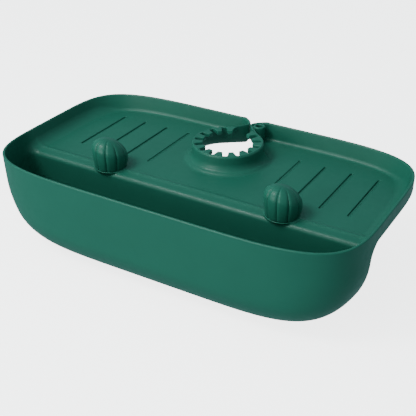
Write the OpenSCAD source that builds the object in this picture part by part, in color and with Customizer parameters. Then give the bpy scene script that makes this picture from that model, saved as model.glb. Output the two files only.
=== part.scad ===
// Sink faucet tray: a moulded splash guard that hangs round a kitchen tap.
// A shallow rear shelf lies on the worktop, a deep front trough hangs into the sink,
// and a toothed collar grips the tap.
// Origin: on the tap's axis, in the worktop plane, which is the shelf's underside.
// +X runs to the right along the length, +Y to the back, +Z up.

/* [Tray outline] */
// Length of the rim, left to right
rim_length = 370; // [350:1:390]
// Depth of the rim, front to back
rim_depth = 213; // [205:1:220]
// Distance from the tap's axis to the rear edge of the rim
rear_reach = 60; // [58:0.5:62]
// Length of a rim corner along X
corner_x = 160; // [140:1:170]
// Length of a rim corner along Y
corner_y = 100; // [90:1:102]
// Power of the rim's corner curve, 2 for an ellipse and more for a squarer corner
corner_power = 4.56; // [3:0.02:6]

/* [Walls] */
// Thickness of the walls
wall = 2.6; // [2:0.1:3.2]
// Thickness of the shelf
shelf_thickness = 3.8; // [3:0.1:4.5]
// Height of the rim above the worktop
rim_height = 21.5; // [20:0.5:24]
// Rounding of the shelf's outer lower edge
shelf_edge_radius = 10.5; // [8:0.5:14]
// Outward lean of the shelf's inner wall, as run over rise
shelf_wall_lean = 0.2; // [0.1:0.05:0.4]
// Fillet between the shelf and its wall
shelf_fillet = 9; // [5:0.5:12]

/* [Trough] */
// Depth of the trough's outside below the rim
trough_depth = 94.5; // [80:0.5:100]
// Outward lean of the tray's ends, as run over rise
end_lean = 0; // [0:0.01:0.12]
// Outward lean of the tray's front and back, as run over rise
front_lean = 0.08; // [0:0.01:0.12]
// How far the trough's front curves in on its way down to the floor
front_curve_in = 36; // [28:1:40]
// Height over which the trough's front curves in
front_curve_height = 36; // [28:1:50]
// How far the trough's ends curve in on their way down to the floor
end_curve_in = 62; // [44:1:64]
// Height over which the trough's ends curve in
end_curve_height = 68; // [50:1:80]
// Front edge of the shelf, where it drops into the trough
lip_y = -84; // [-88:0.5:-82]
// Line where the shelf starts to fall towards its lip
crease_y = -73.5; // [-76:0.5:-68]
// Fall of the shelf between the crease and the lip
lip_drop = 1.6; // [0.5:0.1:2.5]
// Rounding at the foot of the trough's rear wall
rear_radius = 26; // [20:1:30]
// Thickness of the trough's rear wall at its foot
rear_wall = 2.6; // [2.4:0.1:5]
// Fillet between the rear wall and the shelf's underside
rear_fillet = 9; // [6:1:16]

/* [Shelf grooves] */
// Middle of the two groups of grooves, to the right of the tap's axis
groove_middle_x = 1.2; // [0:0.1:2]
// Distance of the innermost groove from that middle
groove_first_x = 64; // [60:1:66]
// Distance between grooves
groove_pitch = 27; // [24:0.5:28]
// Grooves on each side
groove_count = 4; // [1:1:4]
// Width of a groove
groove_width = 2; // [1:0.1:3]
// Depth of a groove
groove_depth = 1.2; // [0.5:0.1:2]
// Front end of the grooves
groove_front_y = -45.5; // [-50:0.5:-30]
// Rear end of the grooves
groove_rear_y = 28.5; // [10:0.5:34]

/* [Collar] */
// Outside radius of the collar's ring
ring_outer_r = 35.3; // [34.8:0.1:36]
// Radius of the collar's bore
bore_r = 32.5; // [32:0.1:33]
// Extra radius round the teeth's roots
tooth_relief = 0.4; // [0.3:0.05:0.6]
// Outside radius of the skirt's foot
skirt_foot_r = 46; // [44:0.5:47]
// Height of the straight ring above the flared skirt
ring_height = 7.5; // [6:0.5:9]
// Width of the slit behind the collar
slit_width = 1; // [0.6:0.1:2]
// Thickness of the two cheeks beside the slit
cheek_wall = 2.2; // [1.8:0.1:2.4]

/* [Teeth] */
// Radius of the circle on the teeth's tips
tooth_tip_r = 24.5; // [23:0.1:26]
// Radius of the line on which a tooth bends
tooth_hinge_r = 29.8; // [29.5:0.1:30]
// Width of a tooth at its root
tooth_root_width = 8; // [6:0.1:8.2]
// Width of a tooth at its tip
tooth_tip_width = 4.6; // [3:0.1:5]
// Thickness of a tooth
tooth_thickness = 4.4; // [3.5:0.1:4.4]
// Angle between teeth
tooth_pitch = 24; // [23:0.5:24]

/* [Posts] */
// Distance of the left post from the tap's axis, along X
post_left_x = 88.5; // [85:0.5:95]
// Distance of the right post from the tap's axis, along X
post_right_x = 95.5; // [85:0.5:97]
// Place of the posts along Y
post_y = -73; // [-74:0.5:-71]
// Radius of a post at its shoulder, where it is widest
post_r = 17.2; // [16:0.1:18]
// Radius of a post at its foot
post_foot_r = 14.9; // [13:0.1:15.5]
// Height of a post's shoulder above its foot
post_shoulder = 14; // [10:0.5:18]
// Height of a post above the shelf
post_height = 28.4; // [26:0.1:32]
// Flutes round a post
post_flutes = 10; // [8:1:12]
// Radius of a post's stem
stem_r = 6; // [4:0.5:8]

/* [Hidden] */

green = [0.13, 0.40, 0.33];
tooth_green = [0.16, 0.45, 0.37];
post_green = [0.18, 0.48, 0.40];

// Distances that only make the cutting shapes overlap what they cut
over = 1;
far = 400;

// Points on curves
outline_sides = 64;
arc_steps = 7;

centre_y = rear_reach - rim_depth / 2;
floor_z = rim_height - trough_depth;
shelf_z = shelf_thickness;
lip_z = shelf_z - lip_drop;
tray_leans = [end_lean, front_lean];
curves_in = [end_curve_in, front_curve_in];
curve_heights = [end_curve_height, front_curve_height];

teeth_per_side = 7;
tooth_z = rim_height - tooth_thickness;
tooth_hinge_z = rim_height - tooth_thickness / 2;
tooth_root_r = 32.2;
tooth_gap = 0.3;

post_gap = 0.2;
stem_clearance = 0.1;
stem_length = 7.5;
pad_radius = post_foot_r + 0.8;
pad_height = 9;
flute_r = 1.6;
left_post_turn = 5;
right_post_turn = 25;

eyelet_x = 10;
eyelet_y = 48;
eyelet_r = 6;
eyelet_hole_r = 3.6;
eyelet_height = 13;
eyelet_link = 4;

// Middle line of the wall on each side of the slit, from the ring to the rear wall
slit_half = (slit_width + cheek_wall) / 2;
left_cheek = [[-16.7, 29.6], [-10, 36], [-5.4, 41.5], [-slit_half, 47], [-4, 51.5], [-8, 55.6], [-14, 58.2]];
right_cheek = [[16.7, 29.6], [10, 36], [5, 41.5], [slit_half, 47], [4.5, 52], [9.5, 56.2], [17, 58.2]];
cheek_low_z = shelf_z - 0.5;

function power_wave(t) = sign(t) * pow(abs(t), 2 / corner_power);

// The rim's outline, set in by one distance at the ends and another at front and back
function outline(end_inset, side_inset, z) = [
    for (i = [0 : outline_sides - 1])
        let (a = 360 * (i + 0.5) / outline_sides, c = cos(a), s = sin(a))
        [
            sign(c) * (rim_length / 2 - corner_x) + (corner_x - end_inset) * power_wave(c),
            centre_y + sign(s) * (rim_depth / 2 - corner_y) + (corner_y - side_inset) * power_wave(s),
            z
        ]
];

// How far an elliptic lower edge has curved in, at height h above its bottom
function edge_inset(curve_in, curve_height, h) =
    let (t = 1 - h / curve_height)
    t <= 0 ? 0 : curve_in * (1 - sqrt(1 - t * t));

// Heights of a bowl's rings: close together on the curve, then one at the rim
function ring_heights(depth, r) =
    concat([for (i = [0 : arc_steps]) r * (1 - cos(90 * i / arc_steps))], [depth]);

// Rings of a bowl below the rim, set in by an inset.
// Each pair is for the ends, then for the front and back.
function bowl_rings(depth, leans, curves_in, curve_heights, inset) = [
    for (h = ring_heights(depth, max(curve_heights)))
        let (insets = [
            for (i = [0, 1])
                inset + leans[i] * (depth - h) + edge_inset(curves_in[i], curve_heights[i], h)
        ])
        outline(insets[0], insets[1], rim_height - depth + h)
];

function raised(ring, by) = [for (p = ring) [p[0], p[1], p[2] + by]];

function arc(centre, r, from, to) = [
    for (i = [0 : arc_steps])
        let (a = from + (to - from) * i / arc_steps)
        centre + r * [cos(a), sin(a)]
];

// A solid through a stack of outlines, lowest first
module loft(rings) {
    n = len(rings[0]);
    last = (len(rings) - 1) * n;
    bottom = [[for (i = [0 : n - 1]) i]];
    top = [[for (i = [n - 1 : -1 : 0]) last + i]];
    sides = [
        for (k = [0 : len(rings) - 2])
            for (i = [0 : n - 1])
                let (low = k * n + i, next = k * n + (i + 1) % n)
                each [[low, low + n, next + n], [low, next + n, next]]
    ];
    polyhedron(points = [for (ring = rings) each ring], faces = concat(bottom, sides, top));
}

// Extrudes an outline drawn in Y and Z along the whole length
module along_length() {
    translate([-far / 2, 0, 0])
        rotate([90, 0, 90])
            linear_extrude(far)
                children();
}

// Everything in front of the trough's rear wall, on the wall's outer side
module trough_outer_side() {
    foot_y = lip_y + rear_wall;
    fillet_y = foot_y + rear_fillet;
    polygon(concat(
        [[-far / 2, rim_height + over], [-far / 2, floor_z - over], [foot_y - rear_radius, floor_z - over]],
        arc([foot_y - rear_radius, floor_z + rear_radius], rear_radius, -90, 0),
        arc([fillet_y, -rear_fillet], rear_fillet, 180, 90),
        [[fillet_y, rim_height + over]]
    ));
}

// The hollow of the trough, seen from the end
module trough_inner_side() {
    inner_r = rear_radius - wall;
    inner_floor = floor_z + wall;
    polygon(concat(
        [[-far / 2, rim_height + over], [-far / 2, inner_floor - over], [lip_y - inner_r, inner_floor - over]],
        arc([lip_y - inner_r, inner_floor + inner_r], inner_r, -90, 0),
        [[lip_y, rim_height + over]]
    ));
}

// The wedge that lets the shelf fall from its crease to its lip
module shelf_fall() {
    shelf_half = rim_length / 2 - wall - shelf_wall_lean * (rim_height - shelf_z) - shelf_fillet;
    intersection() {
        along_length()
            polygon([[lip_y - over, lip_z], [lip_y, lip_z], [crease_y, shelf_z], [crease_y, shelf_z + over],
                [lip_y - over, shelf_z + over]]);
        translate([0, 0, lip_z - over])
            linear_extrude(shelf_z)
                square([2 * shelf_half, far], center = true);
    }
}

module shelf_outside() {
    radii = [shelf_edge_radius, shelf_edge_radius];
    loft(bowl_rings(rim_height, tray_leans, radii, radii, 0));
}

module shelf_hollow() {
    depth = rim_height - shelf_z;
    leans = [shelf_wall_lean, shelf_wall_lean];
    radii = [shelf_fillet, shelf_fillet];
    rings = bowl_rings(depth, leans, radii, radii, wall);
    loft(concat(rings, [raised(rings[len(rings) - 1], over)]));
}

module trough_outside() {
    intersection() {
        loft(bowl_rings(trough_depth, tray_leans, curves_in, curve_heights, 0));
        along_length() trough_outer_side();
    }
}

module trough_hollow() {
    thinner = [wall, wall];
    rings = bowl_rings(trough_depth - wall, tray_leans, curves_in - thinner, curve_heights - thinner, wall);
    intersection() {
        loft(concat(rings, [raised(rings[len(rings) - 1], over)]));
        along_length() trough_inner_side();
    }
}

module groove(x) {
    run = groove_rear_y - groove_front_y;
    translate([x, groove_front_y, shelf_z - groove_depth]) {
        translate([-groove_width / 2, 0, 0]) cube([groove_width, run, groove_depth + over]);
        cylinder(d = groove_width, h = groove_depth + over, $fn = 24);
        translate([0, run, 0]) cylinder(d = groove_width, h = groove_depth + over, $fn = 24);
    }
}

module grooves() {
    for (side = [-1, 1])
        for (i = [0 : groove_count - 1])
            groove(groove_middle_x + side * (groove_first_x + i * groove_pitch));
}

// The drop-shaped opening between the two cheeks, and the notch behind them
module slit_opening() {
    last = len(left_cheek) - 1;
    notch = [[right_cheek[last][0], rear_reach + over], [left_cheek[last][0], rear_reach + over]];
    polygon(concat(backwards(left_cheek), right_cheek, notch));
}

// The points of a path, moved sideways
function beside(path, by) = [
    for (i = [0 : len(path) - 1])
        let (run = path[min(i + 1, len(path) - 1)] - path[max(i - 1, 0)])
        path[i] + by * [-run[1], run[0]] / norm(run)
];

function backwards(path) = [for (i = [len(path) - 1 : -1 : 0]) path[i]];

// A wall of even thickness along a line of points
module wall_along(path, thickness) {
    polygon(concat(beside(path, thickness / 2), backwards(beside(path, -thickness / 2))));
}

module post_places() {
    for (x = [-post_left_x, post_right_x])
        translate([x, post_y, 0])
            children();
}

// The round pads that carry the posts and push the lip forward
module post_pads() {
    post_places()
        translate([0, 0, shelf_z - pad_height])
            cylinder(r = pad_radius, h = pad_height, $fn = 64);
}

module post_sockets() {
    post_places()
        translate([0, 0, shelf_z - pad_height - over])
            cylinder(r = stem_r + stem_clearance, h = pad_height + 2 * over, $fn = 48);
}

module tray() {
    color(green)
        difference() {
            union() {
                difference() {
                    union() {
                        shelf_outside();
                        trough_outside();
                    }
                    shelf_hollow();
                    trough_hollow();
                    shelf_fall();
                    grooves();
                }
                post_pads();
            }
            post_sockets();
            translate([0, 0, -over])
                cylinder(r = skirt_foot_r, h = rim_height + 2 * over, $fn = 96);
            translate([0, 0, -over])
                linear_extrude(rim_height + 2 * over)
                    slit_opening();
        }
}

// Section of the ring and its flared skirt: the bore, the ring, then the curve out to the foot
module collar_section() {
    flare_z = rim_height - ring_height;
    flare_r = flare_z - shelf_z;
    outer_flare = [
        for (i = [0 : arc_steps])
            let (a = 90 * i / arc_steps)
            [
                ring_outer_r + (skirt_foot_r - ring_outer_r) * (1 - cos(a)),
                flare_z - flare_r * sin(a)
            ]
    ];
    inner_flare_r = skirt_foot_r - wall;
    bore_low_z = flare_z - ring_height / 2;
    step_z = tooth_z - tooth_gap;
    polygon(concat(
        [
            [inner_flare_r, 0],
            [bore_r, bore_low_z],
            [bore_r, step_z],
            [bore_r + tooth_relief, step_z],
            [bore_r + tooth_relief, rim_height],
            [ring_outer_r, rim_height]
        ],
        outer_flare,
        [[skirt_foot_r, 0]]
    ));
}

module faucet_collar() {
    color(green)
        union() {
            difference() {
                rotate_extrude($fn = 96) collar_section();
                translate([0, 0, -over])
                    linear_extrude(rim_height + 2 * over)
                        slit_opening();
            }
            translate([0, 0, cheek_low_z])
                linear_extrude(rim_height - cheek_low_z) {
                    wall_along(left_cheek, cheek_wall);
                    wall_along(right_cheek, cheek_wall);
                }
        }
}

// A round loop beside the slit, joined to the rear wall
module closure_eyelet() {
    color(post_green)
        translate([eyelet_x, eyelet_y, rim_height - eyelet_height])
            difference() {
                union() {
                    cylinder(r = eyelet_r, h = eyelet_height, $fn = 48);
                    translate([-eyelet_link / 2, 0, 0])
                        cube([eyelet_link, rear_reach - wall - eyelet_y, eyelet_height]);
                }
                translate([0, 0, -over])
                    cylinder(r = eyelet_hole_r, h = eyelet_height + 2 * over, $fn = 48);
            }
}

// A fluted post that widens to a shoulder under a domed top, on a stem that plugs into the shelf
module post(x, turn) {
    dome_flatness = (post_height - post_shoulder) / post_r;
    flare = atan((post_r - post_foot_r) / post_shoulder);
    translate([x, post_y, shelf_z + post_gap])
        color(post_green) {
            difference() {
                rotate_extrude($fn = 72)
                    polygon(concat(
                        [[0, 0], [post_foot_r, 0]],
                        [for (p = arc([0, 0], post_r, 0, 90)) [p[0], post_shoulder + p[1] * dome_flatness]]
                    ));
                for (i = [0 : post_flutes - 1])
                    rotate([0, 0, turn + 360 * i / post_flutes])
                        translate([post_foot_r + flute_r / 2, 0, 0])
                            rotate([0, flare, 0])
                                translate([0, 0, -over])
                                    cylinder(r = flute_r, h = post_height, $fn = 24);
            }
            translate([0, 0, -stem_length])
                cylinder(r = stem_r, h = stem_length + over, $fn = 48);
        }
}

module post_left() {
    post(-post_left_x, left_post_turn);
}

module post_right() {
    post(post_right_x, right_post_turn);
}

// Teeth are numbered leftwards from the slit, then rightwards from it
function tooth_angle(number) = number <= teeth_per_side
    ? 90 + tooth_pitch * number
    : 90 - tooth_pitch * (number - teeth_per_side);

module tooth(number) {
    half_root = tooth_root_width / 2;
    half_tip = tooth_tip_width / 2;
    color(tooth_green)
        rotate([0, 0, tooth_angle(number)])
            difference() {
                intersection() {
                    union() {
                        translate([0, 0, tooth_z])
                            linear_extrude(tooth_thickness)
                                polygon([
                                    [tooth_tip_r - over, -half_tip],
                                    [tooth_hinge_r, -half_root],
                                    [tooth_hinge_r, half_root],
                                    [tooth_tip_r - over, half_tip]
                                ]);
                        translate([tooth_hinge_r, half_root, tooth_hinge_z])
                            rotate([90, 0, 0])
                                cylinder(d = tooth_thickness, h = tooth_root_width, $fn = 32);
                    }
                    translate([0, 0, tooth_z - over])
                        cylinder(r = tooth_root_r, h = tooth_thickness + 2 * over, $fn = 96);
                }
                translate([0, 0, tooth_z - over])
                    cylinder(r = tooth_tip_r, h = tooth_thickness + 2 * over, $fn = 96);
            }
}

tray();
faucet_collar();
closure_eyelet();
post_left();
post_right();
tooth(1);  // tooth_01
tooth(2);  // tooth_02
tooth(3);  // tooth_03
tooth(4);  // tooth_04
tooth(5);  // tooth_05
tooth(6);  // tooth_06
tooth(7);  // tooth_07
tooth(8);  // tooth_08
tooth(9);  // tooth_09
tooth(10);  // tooth_10
tooth(11);  // tooth_11
tooth(12);  // tooth_12
tooth(13);  // tooth_13
tooth(14);  // tooth_14
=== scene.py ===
"""A dark green silicone sink tray.

It has a drip shelf, a front trough, a toothed collar round the tap and two fluted posts.

The tray is drawn as a signed distance field in millimetres and meshed, so that its walls, fillets, lips,
grooves and collar run into each other as they do in one moulding. The teeth and the posts are meshes of
their own, because they move.
"""

import math

import bmesh
import bpy
import numpy as np
import openvdb
from mathutils import Matrix, Vector


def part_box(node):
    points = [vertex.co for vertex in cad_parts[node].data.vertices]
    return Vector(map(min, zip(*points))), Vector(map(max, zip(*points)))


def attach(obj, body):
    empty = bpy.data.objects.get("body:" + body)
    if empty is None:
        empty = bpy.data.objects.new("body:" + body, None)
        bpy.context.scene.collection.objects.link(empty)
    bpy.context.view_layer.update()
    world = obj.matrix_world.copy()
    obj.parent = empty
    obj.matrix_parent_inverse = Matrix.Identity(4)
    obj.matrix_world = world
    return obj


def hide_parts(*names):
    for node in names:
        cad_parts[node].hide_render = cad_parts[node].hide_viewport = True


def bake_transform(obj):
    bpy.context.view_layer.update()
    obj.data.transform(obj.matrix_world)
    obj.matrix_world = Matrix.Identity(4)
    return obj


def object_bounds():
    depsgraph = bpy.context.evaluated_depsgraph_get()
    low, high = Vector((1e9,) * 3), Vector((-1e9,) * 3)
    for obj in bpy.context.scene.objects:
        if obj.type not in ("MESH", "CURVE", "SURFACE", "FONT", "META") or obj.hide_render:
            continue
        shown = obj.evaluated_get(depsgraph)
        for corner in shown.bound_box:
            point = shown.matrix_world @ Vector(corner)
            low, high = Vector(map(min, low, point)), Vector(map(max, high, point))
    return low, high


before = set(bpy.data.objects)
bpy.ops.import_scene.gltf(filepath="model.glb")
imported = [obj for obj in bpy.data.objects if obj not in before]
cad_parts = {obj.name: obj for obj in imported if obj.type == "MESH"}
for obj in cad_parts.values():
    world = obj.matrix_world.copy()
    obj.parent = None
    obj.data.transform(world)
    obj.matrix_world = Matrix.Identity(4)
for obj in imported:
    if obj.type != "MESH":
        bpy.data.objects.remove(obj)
CAD_BOX = [list(corner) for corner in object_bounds()]

MM = 0.001


def box_mm(node):
    """A CAD node's lowest and highest corners, in millimetres."""
    low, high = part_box(node)
    return np.array(low) / MM, np.array(high) / MM


# ---------------------------------------------------------------- sizes, in millimetres

TRAY_LOW, TRAY_HIGH = box_mm("tray")
TOOTH_LOW_Z = box_mm("tooth_01")[0][2]
POST_BOXES = {name: box_mm(name) for name in ("post_left", "post_right")}

RIM_Z = TRAY_HIGH[2]
FLOOR_Z = TRAY_LOW[2]
REAR_Y = TRAY_HIGH[1]
FRONT_Y = TRAY_LOW[1]
CENTRE_Y = (REAR_Y + FRONT_Y) / 2
SHELF_Z = 3.8

# The rim's outline: straight middles and superelliptic corners
CORNER_X = 160
CORNER_Y = 100
CORNER_POWER = 4.56
FLAT_X = TRAY_HIGH[0] - CORNER_X
FLAT_Y = (REAR_Y - FRONT_Y) / 2 - CORNER_Y

# Leans are run over rise; curves are (how far in, over what height) at the foot of a wall
END_LEAN = 0.0
FRONT_LEAN = 0.08
END_CURVE = (62, 68)
FRONT_CURVE = (36, 36)
SHELF_END_LEAN = 0.3
SHELF_REAR_LEAN = 0.12
WALL = 2.6
RIM_WALL = 2.2
LEAST_CORNER = 0.3
SHELF_EDGE_RADIUS = 10.5
SHELF_FILLET = 9
SHELF_REAR_FILLET = 3.2

# The shelf's front lip, which falls from the crease, and the trough's rear wall under it
LIP_Y = -84.7
CREASE_Y = -73.5
LIP_DROP = 1.6
CREASE_BEAD = 0.9
CREASE_BEAD_Y = 2.3
LIP_ROUND = 4.0
REAR_WALL = 2.6
REAR_RADIUS = 26
REAR_FILLET = 9
RIM_ROUND = 0.95

# Stretches over which one shape gives way to the next
SHELF_BLEND_Y = (LIP_Y - 10, LIP_Y + 10)
CORNER_FADE_Z = (FLOOR_Z + 10, FLOOR_Z + 42)
REAR_FILLET_Y = (20, 45)
SKIRT_TO_CHEEK_Y = (12, 34)
FLARE_FADE_Y = (34, 48)

GROOVE_X = [1.2 + side * (64 + 27 * i) for side in (-1, 1) for i in range(4)]
GROOVE_Y = (-45.8, 28.5)
GROOVE_HALF_WIDTH = 1.2
GROOVE_DEPTH = 1.3
GROOVE_EDGE = 0.4

# The collar: its bore, which flares near the shelf, the ring round it and the skirt at its foot
BORE_R = 32.5
RING_WALL = 2.8
RING_ROUND = 2.6
BORE_FLARE = 11
BORE_FLARE_Z = 10
BORE_FLARE_CURVE = 0.96
FLARE_LOSS_AT_CHEEKS = 0.6
SKIRT_FILLET = 9.5

# The low bead round the front of the skirt; its fades are heights, and distances towards the front
SKIRT_BEAD = 0.5
SKIRT_BEAD_R = 40
SKIRT_BEAD_WIDTH = 1.5
SKIRT_BEAD_FADE_Z = (2, 3.5)
SKIRT_BEAD_FADE_FRONT = (-12, 8)

# The cheeks' inner faces, from the bore through the slit to the notch behind it
CHEEK_FILLET = 2.5
CHEEK_EDGE = 0.7
BORE_TO_CHEEK_ROUND = 2.0
NOTCH_Y = 75
SLIT_X = -0.6
SLIT_HALF = 0.35
LEFT_CHEEK = [
    (-15.4, 28.7), (-9.2, 35.2), (-4.6, 40.9), (SLIT_X - SLIT_HALF, 46.6),
    (-1.8, 51.2), (-5.2, 55.6), (-11, 60),
]
RIGHT_CHEEK = [
    (15.4, 28.7), (9.2, 35.2), (4.0, 40.9), (SLIT_X + SLIT_HALF, 46.6),
    (0.8, 51.0), (4.6, 55.4), (12, 60),
]

EYELET = (10, 47.4)
EYELET_R = 4.7
EYELET_HALF_WALL = 1.15
EYELET_FILLET = 1.0
EYELET_LOW_Z = RIM_Z - 13

# The posts' places, and the tapered pads under the shelf that their stems go through
POST_CENTRES = {name: (low + high)[:2] / 2 for name, (low, high) in POST_BOXES.items()}
POST_LOW_Z = POST_BOXES["post_right"][0][2]
POST_TOP_Z = POST_BOXES["post_right"][1][2]
PAD_R = 15.6
PAD_LOW_Z = -8.0
PAD_EDGE = 0.8
PAD_TAPER = 1.2
PAD_FILLET = 2.2
SOCKET_R = 6.1

FAR = 200.0
NEAR_ZERO = 0.01
MOST_CURVED = 0.998


# ---------------------------------------------------------------- distance field helpers

def round_max(a, b, r):
    """Where both shapes are, with the edge between them rounded to radius r."""
    return np.minimum(np.maximum(a, b), -r) + np.hypot(np.maximum(a + r, 0), np.maximum(b + r, 0))


def round_min(a, b, r):
    """Where either shape is, with a fillet of radius r between them."""
    return -round_max(-a, -b, r)


def ramp(value, low, high):
    """0 below low, 1 above high, and a smooth step between."""
    t = np.clip((value - low) / (high - low), 0, 1)
    return t * t * (3 - 2 * t)


def mixed(a, b, share):
    """Two lists of numbers mixed, number by number."""
    return tuple(p + (q - p) * share for p, q in zip(a, b))


def distance_to(x, y, centre):
    """Distance from an upright axis."""
    return np.hypot(x - centre[0], y - centre[1])


def foot_curve(height, curve):
    """How far a wall has curved in at a height above its foot, and how fast it does."""
    curve_in, curve_height = curve
    t = np.clip(1 - height / curve_height, 0, MOST_CURVED)
    root = np.sqrt(1 - t * t)
    return curve_in * (1 - root), curve_in * t / (root * curve_height)


def outline_distance(x, y, end_inset, side_inset):
    """Distance outside the rim's outline set in by two insets, and how far the wall there faces along X."""
    a = CORNER_X - end_inset
    b = CORNER_Y - side_inset
    u = np.maximum(np.abs(x) - FLAT_X, NEAR_ZERO) / a
    v = np.maximum(np.abs(y - CENTRE_Y) - FLAT_Y, NEAR_ZERO) / b
    g = (u**CORNER_POWER + v**CORNER_POWER) ** (1 / CORNER_POWER)
    gx = (u / g) ** (CORNER_POWER - 1) / a
    gy = (v / g) ** (CORNER_POWER - 1) / b
    steepness = np.hypot(gx, gy)
    return (g - 1) / steepness, (gx / steepness) ** 2


def wall_distance(x, y, end, side):
    """Distance outside a leaning wall, from its (inset, slope) at the ends and at the front and back."""
    flat, facing_x = outline_distance(x, y, end[0], side[0])
    slope = facing_x * end[1] + (1 - facing_x) * side[1]
    return flat / np.sqrt(1 + slope * slope)


def leaning(z, lean, inset, curve=None, foot_z=0.0):
    """(inset, slope) of a wall at height z."""
    total = inset + lean * (RIM_Z - z)
    if curve is None:
        return total, lean
    curved, slope = foot_curve(z - foot_z, curve)
    return total + curved, lean + slope


def polygon_distance(x, y, points):
    """Signed distance to a closed polygon, negative inside."""
    nearest = np.full(np.broadcast(x, y).shape, FAR**2, np.float32)
    inside = np.zeros(nearest.shape, bool)
    for (ax, ay), (bx, by) in zip(points, points[1:] + points[:1]):
        ex, ey = bx - ax, by - ay
        t = np.clip(((x - ax) * ex + (y - ay) * ey) / (ex * ex + ey * ey), 0, 1)
        nearest = np.minimum(nearest, (x - ax - t * ex) ** 2 + (y - ay - t * ey) ** 2)
        if ay != by:
            crosses = ((y >= ay) != (y >= by)) & (x < ax + (y - ay) * ex / ey)
            inside ^= crosses
    return np.where(inside, -1, 1) * np.sqrt(nearest)


# ---------------------------------------------------------------- the tray's field

def tray_outside(x, y, z):
    """The tray as if it were solid: the shelf's block and the deeper trough in front of it."""
    end = leaning(z, END_LEAN, 0, END_CURVE, FLOOR_Z)
    side = leaning(z, FRONT_LEAN, 0, FRONT_CURVE, FLOOR_Z)
    walls = wall_distance(x, y, end, side)
    trough = round_max(y - LIP_Y - REAR_WALL, FLOOR_Z - z, REAR_RADIUS)
    below = round_min(-z + 0 * y, trough, REAR_FILLET)
    corner = LEAST_CORNER + SHELF_EDGE_RADIUS * ramp(z, *CORNER_FADE_Z)
    return round_max(walls, below, corner)


def shelf_height(y):
    """The shelf's top, with the bead at its crease and the lip that falls towards the trough."""
    top = SHELF_Z - LIP_DROP * np.clip((CREASE_Y - y) / (CREASE_Y - LIP_Y), 0, 1)
    return top + CREASE_BEAD * np.exp(-(((y - CREASE_Y) / CREASE_BEAD_Y) ** 2))


def tray_hollow(x, y, z):
    """The space inside the walls, above the shelf and in the trough."""
    thinner = (WALL, WALL)
    end_trough = leaning(z, END_LEAN, RIM_WALL, np.subtract(END_CURVE, thinner), FLOOR_Z + WALL)
    side_trough = leaning(z, FRONT_LEAN, RIM_WALL, np.subtract(FRONT_CURVE, thinner), FLOOR_Z + WALL)
    end_shelf = leaning(z, SHELF_END_LEAN, RIM_WALL)
    side_shelf = leaning(z, SHELF_REAR_LEAN, RIM_WALL)
    on_shelf = ramp(y, *SHELF_BLEND_Y)
    end = mixed(end_trough, end_shelf, on_shelf)
    side = mixed(side_trough, side_shelf, on_shelf)
    walls = wall_distance(x, y, end, side)
    trough = round_max(y - LIP_Y, FLOOR_Z + WALL - z, REAR_RADIUS - WALL)
    above_floor = round_min(shelf_height(y) - z, trough, LIP_ROUND)
    shelf_fillet = SHELF_FILLET + (SHELF_REAR_FILLET - SHELF_FILLET) * ramp(y, *REAR_FILLET_Y)
    corner = LEAST_CORNER + shelf_fillet * ramp(z, *CORNER_FADE_Z)
    return round_max(walls, above_floor, corner)


def collar_opening(x, y):
    """The bore and the drop-shaped gap that runs from it through the slit, seen from above."""
    notch = [(RIGHT_CHEEK[-1][0], NOTCH_Y), (LEFT_CHEEK[-1][0], NOTCH_Y)]
    drop = LEFT_CHEEK[::-1] + RIGHT_CHEEK + notch
    return round_min(np.hypot(x, y) - BORE_R, polygon_distance(x, y, drop), BORE_TO_CHEEK_ROUND)


def bore_flare(y, z):
    """How much wider the opening is near the shelf."""
    t = np.clip(1 - z / BORE_FLARE_Z, 0, 1)
    loss = FLARE_LOSS_AT_CHEEKS * ramp(y, *FLARE_FADE_Y)
    return BORE_FLARE * (1 - np.sqrt(1 - BORE_FLARE_CURVE * t * t)) * (1 - loss)


def skirt_bead(x, y, z):
    """How far the bead round the front of the skirt stands out."""
    across = (np.hypot(x, y) - SKIRT_BEAD_R) / SKIRT_BEAD_WIDTH
    bead = np.exp(-(across**2)) * ramp(-y, *SKIRT_BEAD_FADE_FRONT)
    return SKIRT_BEAD * bead * ramp(z, *SKIRT_BEAD_FADE_Z)


def grooves(x, y, z):
    """The drip grooves in the shelf, with round ends."""
    middle = (GROOVE_Y[0] + GROOVE_Y[1]) / 2
    half = (GROOVE_Y[1] - GROOVE_Y[0]) / 2
    along = np.maximum(np.abs(y - middle) - half, 0)
    across = np.min([np.abs(x - gx) for gx in GROOVE_X], axis=0)
    return np.maximum(np.hypot(across, along) - GROOVE_HALF_WIDTH, SHELF_Z - GROOVE_DEPTH - z)


def with_pads(body, to_post, z):
    """Adds the pads under the shelf."""
    taper = PAD_TAPER * np.maximum(SHELF_Z - z - PAD_EDGE, 0)
    pad = np.maximum(to_post - PAD_R + taper, np.maximum(z - SHELF_Z, PAD_LOW_Z - z))
    return round_min(body, pad, PAD_FILLET)


def with_collar(body, outside, opening, y, z):
    """Adds the ring and the cheeks, which end at the tray's own outside."""
    collar = np.maximum(opening - RING_WALL, outside)
    collar = round_max(collar, z - RIM_Z, RING_ROUND)
    fillet = SKIRT_FILLET + (CHEEK_FILLET - SKIRT_FILLET) * ramp(y, *SKIRT_TO_CHEEK_Y)
    return round_min(body, collar, fillet)


def with_eyelet(body, x, y, z):
    """Adds the loop beside the slit and opens its hole."""
    to_middle = distance_to(x, y, EYELET)
    loop = np.abs(to_middle - EYELET_R) - EYELET_HALF_WALL
    body = round_min(body, np.maximum(loop, EYELET_LOW_Z - z), EYELET_FILLET)
    return np.maximum(body, EYELET_R - EYELET_HALF_WALL - to_middle)


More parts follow.
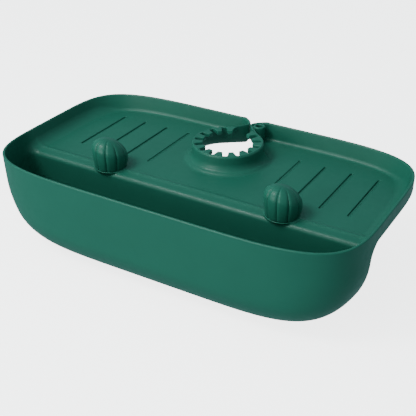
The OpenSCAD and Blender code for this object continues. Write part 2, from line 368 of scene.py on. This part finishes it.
def tray_field(x, y, z):
    """The whole moulding but the teeth: negative in the silicone."""
    outside = tray_outside(x, y, z)
    opening = collar_opening(x, y)
    to_post = np.minimum(*[distance_to(x, y, centre) for centre in POST_CENTRES.values()])
    body = np.maximum(outside, -tray_hollow(x, y, z))
    body = with_pads(body, to_post, z)
    body = with_collar(body, outside, opening, y, z)
    body = body - skirt_bead(x, y, z)
    body = with_eyelet(body, x, y, z)
    body = round_max(body, bore_flare(y, z) - opening, CHEEK_EDGE)
    body = round_max(body, -grooves(x, y, z), GROOVE_EDGE)
    body = np.maximum(body, SOCKET_R - to_post)
    return round_max(body, z - RIM_Z, RIM_ROUND)


# ---------------------------------------------------------------- from field to mesh

VOXEL = 0.8
MARGIN = 3
BAND = 3
LAYERS_AT_ONCE = 8
MOST_TRIANGLES = 190000
SETTLE_ROUNDS = 3
SETTLE_REACH = 0.05
NORMAL_REACH = 0.12
LEAST_STEEPNESS = 0.2
SHORTEST_NORMAL = 1e-6


def sampled(field, low, size):
    """The field on a grid of voxels, a few layers at a time."""
    axes = [low[i] + VOXEL * np.arange(size[i], dtype=np.float32) for i in range(3)]
    values = np.empty(size, np.float32)
    x = axes[0][:, None, None]
    y = axes[1][None, :, None]
    for k in range(0, size[2], LAYERS_AT_ONCE):
        z = axes[2][None, None, k:k + LAYERS_AT_ONCE]
        values[:, :, k:k + LAYERS_AT_ONCE] = field(x, y, z)
    return values


def slope_of(field, points, reach):
    """The field's gradient at points."""
    steps = np.eye(3) * reach
    rises = [field(*(points + step).T) - field(*(points - step).T) for step in steps]
    return np.stack(rises, axis=1) / (2 * reach)


def settle(field, points):
    """Moves points onto the field's zero surface."""
    for _ in range(SETTLE_ROUNDS):
        grad = slope_of(field, points, SETTLE_REACH)
        steep = np.maximum((grad * grad).sum(1), LEAST_STEEPNESS)
        move = (field(*points.T) / steep)[:, None] * grad
        points = points - np.clip(move, -VOXEL, VOXEL)
    return points


def linked(name, mesh):
    """A new object in the scene."""
    thing = bpy.data.objects.new(name, mesh)
    bpy.context.scene.collection.objects.link(thing)
    return thing


def thin_out(thing, triangles):
    """Brings an object's mesh down to the most triangles that it may have."""
    if triangles <= MOST_TRIANGLES:
        return
    thin = thing.modifiers.new("thin", "DECIMATE")
    thin.ratio = MOST_TRIANGLES / triangles
    bpy.context.view_layer.update()
    seen = thing.evaluated_get(bpy.context.evaluated_depsgraph_get())
    thing.data = bpy.data.meshes.new_from_object(seen)
    thing.modifiers.clear()


def set_normals(mesh, field):
    """Gives a mesh the field's own normals."""
    places = np.empty(3 * len(mesh.vertices))
    mesh.vertices.foreach_get("co", places)
    normals = slope_of(field, places.reshape(-1, 3) / MM, NORMAL_REACH)
    normals /= np.maximum(np.linalg.norm(normals, axis=1), SHORTEST_NORMAL)[:, None]
    mesh.shade_smooth()
    mesh.normals_split_custom_set_from_vertices(normals)


def field_mesh(name, field, low, high):
    """An object of the field's zero surface, in metres."""
    start = np.array(low) - MARGIN * VOXEL
    size = np.ceil((np.array(high) - start) / VOXEL).astype(int) + MARGIN
    values = np.clip(sampled(field, start, size), -BAND * VOXEL, BAND * VOXEL)
    grid = openvdb.FloatGrid(BAND * VOXEL)
    grid.copyFromArray(values)
    points, quads = grid.convertToQuads(0.0)
    points = settle(field, start + VOXEL * points.astype(float))
    mesh = bpy.data.meshes.new(name)
    mesh.from_pydata(points * MM, [], quads.tolist())
    thing = linked(name, mesh)
    thin_out(thing, 2 * len(quads))
    set_normals(thing.data, field)
    return thing


# ---------------------------------------------------------------- materials

GREEN = (0.012, 0.113, 0.075)
SILICONE_IOR = 1.43
SILICONE_SPECULAR = 0.32
MOTTLE_SHADES = (0.93, 1.08)
ROUGHNESS = (0.36, 0.46)

# Noises are (scale, detail, offset), and their middle range is what is used
MOTTLE_NOISE = (28, 4, 3.1)
ROUGHNESS_NOISE = (160, 3, 7.7)
GRAIN_NOISE = (1800, 2, 1.3)
WAVE_NOISE = (35, 2, 5.9)
NOISE_RANGE = (0.3, 0.7)

# Bumps are (strength, distance in metres)
GRAIN_BUMP = (0.12, 0.00012)
WAVE_BUMP = (0.08, 0.0006)


def silicone(name, colour, seed):
    """Satin moulded silicone: fine grain, faint mottling and a soft highlight."""
    material = bpy.data.materials.new(name)
    material.use_nodes = True
    nodes, links = material.node_tree.nodes, material.node_tree.links
    shader = nodes["Principled BSDF"]
    shader.inputs["IOR"].default_value = SILICONE_IOR
    shader.inputs["Specular IOR Level"].default_value = SILICONE_SPECULAR
    place = nodes.new("ShaderNodeTexCoord")

    def noise(scale, detail, offset):
        move = nodes.new("ShaderNodeMapping")
        move.inputs["Location"].default_value = (seed + offset, seed, offset)
        links.new(place.outputs["Object"], move.inputs["Vector"])
        texture = nodes.new("ShaderNodeTexNoise")
        texture.inputs["Scale"].default_value = scale
        texture.inputs["Detail"].default_value = detail
        links.new(move.outputs["Vector"], texture.inputs["Vector"])
        return texture.outputs["Fac"]

    def ranged(value, low, high):
        remap = nodes.new("ShaderNodeMapRange")
        remap.inputs["From Min"].default_value = NOISE_RANGE[0]
        remap.inputs["From Max"].default_value = NOISE_RANGE[1]
        remap.inputs["To Min"].default_value = low
        remap.inputs["To Max"].default_value = high
        links.new(value, remap.inputs["Value"])
        return remap.outputs["Result"]

    def bump(height, strength, distance):
        relief = nodes.new("ShaderNodeBump")
        relief.inputs["Strength"].default_value = strength
        relief.inputs["Distance"].default_value = distance
        links.new(height, relief.inputs["Height"])
        return relief

    mottle = nodes.new("ShaderNodeMix")
    mottle.data_type = "RGBA"
    mottle.inputs["A"].default_value = (*[c * MOTTLE_SHADES[0] for c in colour], 1)
    mottle.inputs["B"].default_value = (*[c * MOTTLE_SHADES[1] for c in colour], 1)
    links.new(noise(*MOTTLE_NOISE), mottle.inputs["Factor"])
    links.new(mottle.outputs["Result"], shader.inputs["Base Color"])
    links.new(ranged(noise(*ROUGHNESS_NOISE), *ROUGHNESS), shader.inputs["Roughness"])

    grain = bump(noise(*GRAIN_NOISE), *GRAIN_BUMP)
    waves = bump(noise(*WAVE_NOISE), *WAVE_BUMP)
    links.new(grain.outputs["Normal"], waves.inputs["Normal"])
    links.new(waves.outputs["Normal"], shader.inputs["Normal"])
    return material


# ---------------------------------------------------------------- camera, light and floor

VIEW_AZIMUTH = math.radians(30.5)
VIEW_ELEVATION = math.radians(29.89)
VIEW_DISTANCE = 0.6906
VIEW_TARGET = Vector((0.050, -0.123, 0.0215))
LENS_MM = 71.4
SENSOR_MM = 36

# Lights are (name, place, width, watts), and all face one point
LIGHTS = (
    ("key", (-0.58, -0.82, 1.22), 0.5, 13),
    ("soft", (-0.50, -0.75, 1.35), 1.7, 9.5),
    ("front", (-0.55, -1.60, 0.18), 1.2, 22),
)
LIGHT_TARGET = (0, -0.06, -0.02)
WORLD_LIGHT = 0.48
WORLD_TINT = (0.6, 0.95, 1.0, 1)

FLOOR_EDGE = 30
FLOOR_DROP = 0.0005
FLOOR_PAINT = (0.92, 0.92, 0.92, 1)
FLOOR_ROUGHNESS = 0.9
FLOOR_GLOW = 3.4


def towards(azimuth, elevation):
    """The direction from the object to a camera at these angles."""
    return Vector((
        math.sin(azimuth) * math.cos(elevation),
        -math.cos(azimuth) * math.cos(elevation),
        math.sin(elevation),
    ))


def aimed(thing, place, target):
    """Puts a camera or light at a place, facing a target."""
    thing.location = place
    thing.rotation_euler = (Vector(target) - Vector(place)).to_track_quat("-Z", "Y").to_euler()
    bpy.context.scene.collection.objects.link(thing)


def make_camera():
    data = bpy.data.cameras.new("camera")
    data.lens = LENS_MM
    data.sensor_width = SENSOR_MM
    camera = bpy.data.objects.new("camera", data)
    aimed(camera, VIEW_TARGET + VIEW_DISTANCE * towards(VIEW_AZIMUTH, VIEW_ELEVATION), VIEW_TARGET)
    bpy.context.scene.camera = camera


def area_light(name, place, size, watts):
    data = bpy.data.lights.new(name, "AREA")
    data.shape = "DISK"
    data.size = size
    data.energy = watts
    light = bpy.data.objects.new(name, data)
    aimed(light, place, LIGHT_TARGET)


def make_studio():
    for light in LIGHTS:
        area_light(*light)
    world = bpy.data.worlds.new("studio")
    world.use_nodes = True
    world.node_tree.nodes["Background"].inputs["Color"].default_value = WORLD_TINT
    world.node_tree.nodes["Background"].inputs["Strength"].default_value = WORLD_LIGHT
    bpy.context.scene.world = world


def floor_paint():
    """Pale paint that glows a little, so that the floor shows nearly white."""
    material = bpy.data.materials.new("floor_paint")
    material.use_nodes = True
    shader = material.node_tree.nodes["Principled BSDF"]
    shader.inputs["Base Color"].default_value = FLOOR_PAINT
    shader.inputs["Roughness"].default_value = FLOOR_ROUGHNESS
    shader.inputs["Emission Color"].default_value = (1, 1, 1, 1)
    shader.inputs["Emission Strength"].default_value = FLOOR_GLOW
    return material


def make_floor():
    """A level floor under the object. Bounced rays don't see it, so its glow doesn't light the object."""
    mesh = bpy.data.meshes.new("floor")
    corners = [(-1, -1), (1, -1), (1, 1), (-1, 1)]
    mesh.from_pydata([(FLOOR_EDGE * x, FLOOR_EDGE * y, 0) for x, y in corners], [], [(0, 1, 2, 3)])
    floor = linked("floor", mesh)
    floor.location.z = CAD_BOX[0][2] - FLOOR_DROP
    floor.data.materials.append(floor_paint())
    floor.visible_diffuse = False
    floor.visible_glossy = False


# ---------------------------------------------------------------- the tray

def make_tray():
    tray = field_mesh("tray_moulding", tray_field, TRAY_LOW, TRAY_HIGH)
    tray.data.materials.append(silicone("tray_silicone", GREEN, 0.0))
    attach(tray, "tray")
    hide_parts("tray", "faucet_collar", "closure_eyelet")


# ---------------------------------------------------------------- the teeth

# (distance from the bore's axis, half width) from the tip to the root
TOOTH_HALF_WIDTHS = [(24.5, 2.3), (28.0, 3.1), (31.0, 3.9), (32.0, 4.4), (32.8, 5.4), (34.2, 6.4)]
TOOTH_TOP_Z = RIM_Z - 0.15
TOOTH_BEVEL = 0.55
TOOTH_BEVEL_SEGMENTS = 4
SHARP_EDGE = math.radians(40)
TEETH_A_SIDE = 7
TOOTH_PITCH = 24
SLIT_ANGLE = 90


def tooth_angle(number):
    """The teeth run one way round from the slit, and then the other way."""
    steps = number if number <= TEETH_A_SIDE else TEETH_A_SIDE - number
    return math.radians(SLIT_ANGLE + TOOTH_PITCH * steps)


def tooth_mesh(name, angle):
    """A lobe that widens to its root, with rounded edges."""
    shape = bmesh.new()
    outline = [(r, -w) for r, w in reversed(TOOTH_HALF_WIDTHS)] + TOOTH_HALF_WIDTHS
    low = [shape.verts.new((r, w, TOOTH_LOW_Z)) for r, w in outline]
    high = [shape.verts.new((r, w, TOOTH_TOP_Z)) for r, w in outline]
    for i in range(len(outline)):
        j = (i + 1) % len(outline)
        shape.faces.new((low[i], low[j], high[j], high[i]))
    shape.faces.new(low[::-1])
    shape.faces.new(high)
    bmesh.ops.recalc_face_normals(shape, faces=shape.faces)
    sharp = [edge for edge in shape.edges if edge.calc_face_angle(0) > SHARP_EDGE]
    bmesh.ops.bevel(
        shape, geom=sharp, offset=TOOTH_BEVEL, segments=TOOTH_BEVEL_SEGMENTS, profile=0.5, affect="EDGES"
    )
    shape.transform(Matrix.Rotation(angle, 4, "Z") @ Matrix.Scale(MM, 4))
    mesh = bpy.data.meshes.new(name)
    shape.to_mesh(mesh)
    shape.free()
    return mesh


def make_tooth(number, material):
    name = f"tooth_{number:02d}"
    angle = tooth_angle(number)
    lobe = linked(name + "_lobe", tooth_mesh(name + "_lobe", angle))
    for polygon in lobe.data.polygons:
        polygon.use_smooth = True
    lobe.data.materials.append(material)
    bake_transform(lobe)
    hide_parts(name)


# ---------------------------------------------------------------- the posts

POST_FLUTES = 10
POST_FLUTE_TURN = {"post_left": math.radians(5), "post_right": math.radians(25)}
POST_VALLEY = 0.075
POST_VALLEY_SHARPNESS = 3
POST_FLUTE_FADE = 2.0
POST_FOOT_R = 15.3
POST_FOOT_ROUND = 1.0
POST_FOOT_FLUTING = 0.9
POST_SHOULDER_R = 17.2
POST_SHOULDER_Z = 17.6
POST_SLOPE_X = 0.16
POST_SLOPE_Y = 0.28
POST_BASE_Z = SHELF_Z + 0.2
STEM_R = 5.9
STEM_BEVEL = 0.8
POST_SEGMENTS = 320
POST_FOOT_STEPS = 4
POST_SIDE_STEPS = 13
POST_DOME_STEPS = 48


def stem_profile():
    """The stem, from the middle of its lower end to the post's underside."""
    return [
        (0.0, POST_LOW_Z, 0),
        (STEM_R - STEM_BEVEL, POST_LOW_Z, 0),
        (STEM_R, POST_LOW_Z + STEM_BEVEL, 0),
        (STEM_R, POST_BASE_Z, 0),
        (POST_FOOT_R - POST_FOOT_ROUND, POST_BASE_Z, POST_FOOT_FLUTING),
    ]


def foot_profile():
    """The rounded edge of the foot."""
    profile = []
    for k in range(1, POST_FOOT_STEPS + 1):
        a = math.radians(90 * k / POST_FOOT_STEPS)
        out = POST_FOOT_R - POST_FOOT_ROUND * (1 - math.sin(a))
        profile.append((out, POST_BASE_Z + POST_FOOT_ROUND * (1 - math.cos(a)), 1))
    return profile


def side_profile():
    """The side, which widens to the shoulder."""
    profile = []
    low_z = POST_BASE_Z + POST_FOOT_ROUND
    for k in range(1, POST_SIDE_STEPS):
        up = k / POST_SIDE_STEPS
        flare = (POST_SHOULDER_R - POST_FOOT_R) * math.sin(math.radians(90 * up))
        profile.append((POST_FOOT_R + flare, low_z + (POST_SHOULDER_Z - low_z) * up, 1))
    return profile


def dome_profile():
    """The dome, whose flutes fade out towards its apex."""
    profile = []
    dome = POST_TOP_Z - POST_SHOULDER_Z
    for k in range(POST_DOME_STEPS):
        a = math.radians(90 * k / POST_DOME_STEPS)
        fluted = min(1, POST_FLUTE_FADE * math.cos(a))
        profile.append((POST_SHOULDER_R * math.cos(a), POST_SHOULDER_Z + dome * math.sin(a), fluted))
    return profile + [(0.0, POST_TOP_Z, 0)]


def post_profile():
    """(radius, height, share of fluting) up the post, from the bottom of its stem to its apex."""
    return stem_profile() + foot_profile() + side_profile() + dome_profile()


def post_points(profile, turn, phase):
    """A post's rings round its axis: broad flutes, sharp valleys, a dome that falls to the back and right."""
    valley = (1 - np.abs(np.sin(POST_FLUTES / 2 * (turn - phase)))) ** POST_VALLEY_SHARPNESS
    rings = []
    for r, z, fluted in profile:
        angles = turn if r else turn[:1]
        reach = r * (1 - POST_VALLEY * fluted * (valley if r else 0))
        x, y = reach * np.cos(angles), reach * np.sin(angles)
        share = np.clip((z - POST_BASE_Z) / (POST_SHOULDER_Z - POST_BASE_Z), 0, 1)
        rings.append(np.stack([x, y, z - share * (POST_SLOPE_X * x + POST_SLOPE_Y * y)], 1))
    return rings


def ring_faces(rings):
    """Faces between one ring of points and the next, where a ring may be a single point."""
    starts = np.cumsum([0] + [len(ring) for ring in rings])
    faces = []
    for k in range(len(rings) - 1):
        low, high = starts[k], starts[k + 1]
        count = max(len(rings[k]), len(rings[k + 1]))
        for i in range(count):
            j = (i + 1) % count
            if len(rings[k]) == 1:
                faces.append((low, high + j, high + i))
            elif len(rings[k + 1]) == 1:
                faces.append((low + i, low + j, high))
            else:
                faces.append((low + i, low + j, high + j, high + i))
    return faces


def make_post(name, material):
    turn = np.arange(POST_SEGMENTS) * 2 * math.pi / POST_SEGMENTS
    rings = post_points(post_profile(), turn, POST_FLUTE_TURN[name])
    cx, cy = POST_CENTRES[name]
    mesh = bpy.data.meshes.new(name + "_dome")
    mesh.from_pydata((np.concatenate(rings) + [cx, cy, 0]) * MM, [], ring_faces(rings))
    mesh.polygons.foreach_set("use_smooth", [True] * len(mesh.polygons))
    mesh.materials.append(material)
    dome = linked(name + "_dome", mesh)
    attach(dome, name)
    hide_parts(name)


# ---------------------------------------------------------------- the scene

make_camera()
make_studio()
make_floor()
make_tray()
tooth_material = silicone("tooth_silicone", GREEN, 0.4)
for number in range(1, 2 * TEETH_A_SIDE + 1):
    make_tooth(number, tooth_material)
post_material = silicone("post_silicone", GREEN, 0.8)
for name in POST_BOXES:
    make_post(name, post_material)
